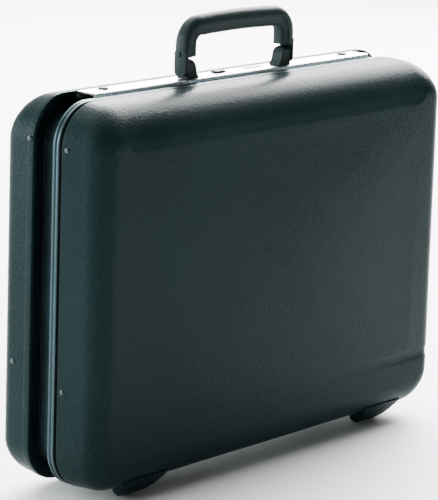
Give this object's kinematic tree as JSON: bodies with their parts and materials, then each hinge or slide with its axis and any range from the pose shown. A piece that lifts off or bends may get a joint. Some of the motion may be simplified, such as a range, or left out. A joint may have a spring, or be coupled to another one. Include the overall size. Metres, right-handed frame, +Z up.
{
  "type": "attache case",
  "caption": "Hard-shell attache case with rounded grained plastic shells, aluminium valance and lock plate, folding handle, combination lock, push-button latches and moulded feet",
  "frame": {"origin": "on the floor under the middle of the closed case's bounding box, at the undersides of the feet", "axes": "X runs along the width from left to right as seen from the front, Y from the front shell to the rear shell, Z up through the handle"},
  "size_m": [0.4624, 0.117, 0.3867],
  "materials": {
    "shell_plastic": "fine leather-grain moulded finish",
    "trim_plastic": "fine moulded finish",
    "frame_aluminium": "dark anodised satin",
    "plate_aluminium": "bright brushed",
    "steel": "zinc plated",
    "rivet_metal": "blackened",
    "seal_rubber": "matt extruded",
    "lining_fabric": "short-pile lining cloth",
    "dial_metal": "dark plated"
  },
  "bodies": {
    "base": {"base_frame": "frame_aluminium", "base_lining": "lining_fabric", "dial_shaft": "steel", "front_foot_left": "trim_plastic", "front_foot_right": "trim_plastic", "front_rivet_left_lower": "rivet_metal", "front_rivet_left_upper": "rivet_metal", "front_rivet_right_lower": "rivet_metal", "front_rivet_right_upper": "rivet_metal", "front_shell": "shell_plastic", "handle_bracket_left": "trim_plastic", "handle_bracket_right": "trim_plastic", "handle_pin_left": "steel", "handle_pin_right": "steel", "hinge_base_leaf_left": "steel", "hinge_base_leaf_right": "steel", "hinge_pin_left": "steel", "hinge_pin_right": "steel", "latch_housing_left": "steel", "latch_housing_right": "steel", "latch_pin_left": "steel", "latch_pin_right": "steel", "lock_body": "steel", "lock_plate": "plate_aluminium"},
    "lid": {"rear_shell": "shell_plastic", "lid_frame": "frame_aluminium", "frame_seal": "seal_rubber", "lid_lining": "lining_fabric", "document_pocket": "lining_fabric", "hinge_lid_leaf_left": "steel", "hinge_lid_leaf_right": "steel", "striker_left": "steel", "striker_right": "steel", "rear_foot_left": "trim_plastic", "rear_foot_right": "trim_plastic", "rear_rivet_left_upper": "rivet_metal", "rear_rivet_left_lower": "rivet_metal", "rear_rivet_right_upper": "rivet_metal", "rear_rivet_right_lower": "rivet_metal"},
    "handle": {"handle": "trim_plastic"},
    "slider": {"lock_slider": "trim_plastic"},
    "button_left": {"release_button_left": "trim_plastic"},
    "button_right": {"release_button_right": "trim_plastic"},
    "hook_left": {"latch_hook_left": "steel"},
    "hook_right": {"latch_hook_right": "steel"},
    "dial_1": {"lock_dial_1": "dial_metal"},
    "dial_2": {"lock_dial_2": "dial_metal"},
    "dial_3": {"lock_dial_3": "dial_metal"}
  },
  "joints": [
    {"name": "lid_hinge", "type": "hinge", "parent": "base", "child": "lid", "pos_m": [0, 0.015, 0.01], "axis": [-1, 0, 0], "range_deg": [0, 95]},
    {"name": "handle_fold", "type": "hinge", "parent": "base", "child": "handle", "pos_m": [0, 0.007, 0.3435], "axis": [1, 0, 0], "range_deg": [-90, 90]},
    {"name": "lock_slide", "type": "slide", "parent": "base", "child": "slider", "axis": [1, 0, 0], "range_m": [0, 0.008]},
    {"name": "button_left_push", "type": "slide", "parent": "base", "child": "button_left", "axis": [0, 0, -1], "range_m": [0, 0.0022], "stiffness_N_per_m": 900, "springref_m": -0.001},
    {"name": "button_right_push", "type": "slide", "parent": "base", "child": "button_right", "axis": [0, 0, -1], "range_m": [0, 0.0022], "stiffness_N_per_m": 900, "springref_m": -0.001},
    {"name": "hook_left_rock", "type": "hinge", "parent": "base", "child": "hook_left", "pos_m": [-0.15, 0.01495, 0.3225], "axis": [0, -1, 0], "range_deg": [0, 17.52]},
    {"name": "hook_right_rock", "type": "hinge", "parent": "base", "child": "hook_right", "pos_m": [0.15, 0.01495, 0.3225], "axis": [0, 1, 0], "range_deg": [0, 17.52]},
    {"name": "dial_1_spin", "type": "hinge", "parent": "base", "child": "dial_1", "pos_m": [0.022, 0.0136, 0.327], "axis": [1, 0, 0], "continuous": true},
    {"name": "dial_2_spin", "type": "hinge", "parent": "base", "child": "dial_2", "pos_m": [0.031, 0.0136, 0.327], "axis": [1, 0, 0], "continuous": true},
    {"name": "dial_3_spin", "type": "hinge", "parent": "base", "child": "dial_3", "pos_m": [0.04, 0.0136, 0.327], "axis": [1, 0, 0], "continuous": true}
  ],
  "couplings": [
    {"joint": "hook_left_rock", "follows": "button_left_push", "rad_per_m": 139},
    {"joint": "hook_right_rock", "follows": "button_right_push", "rad_per_m": 139}
  ]
}
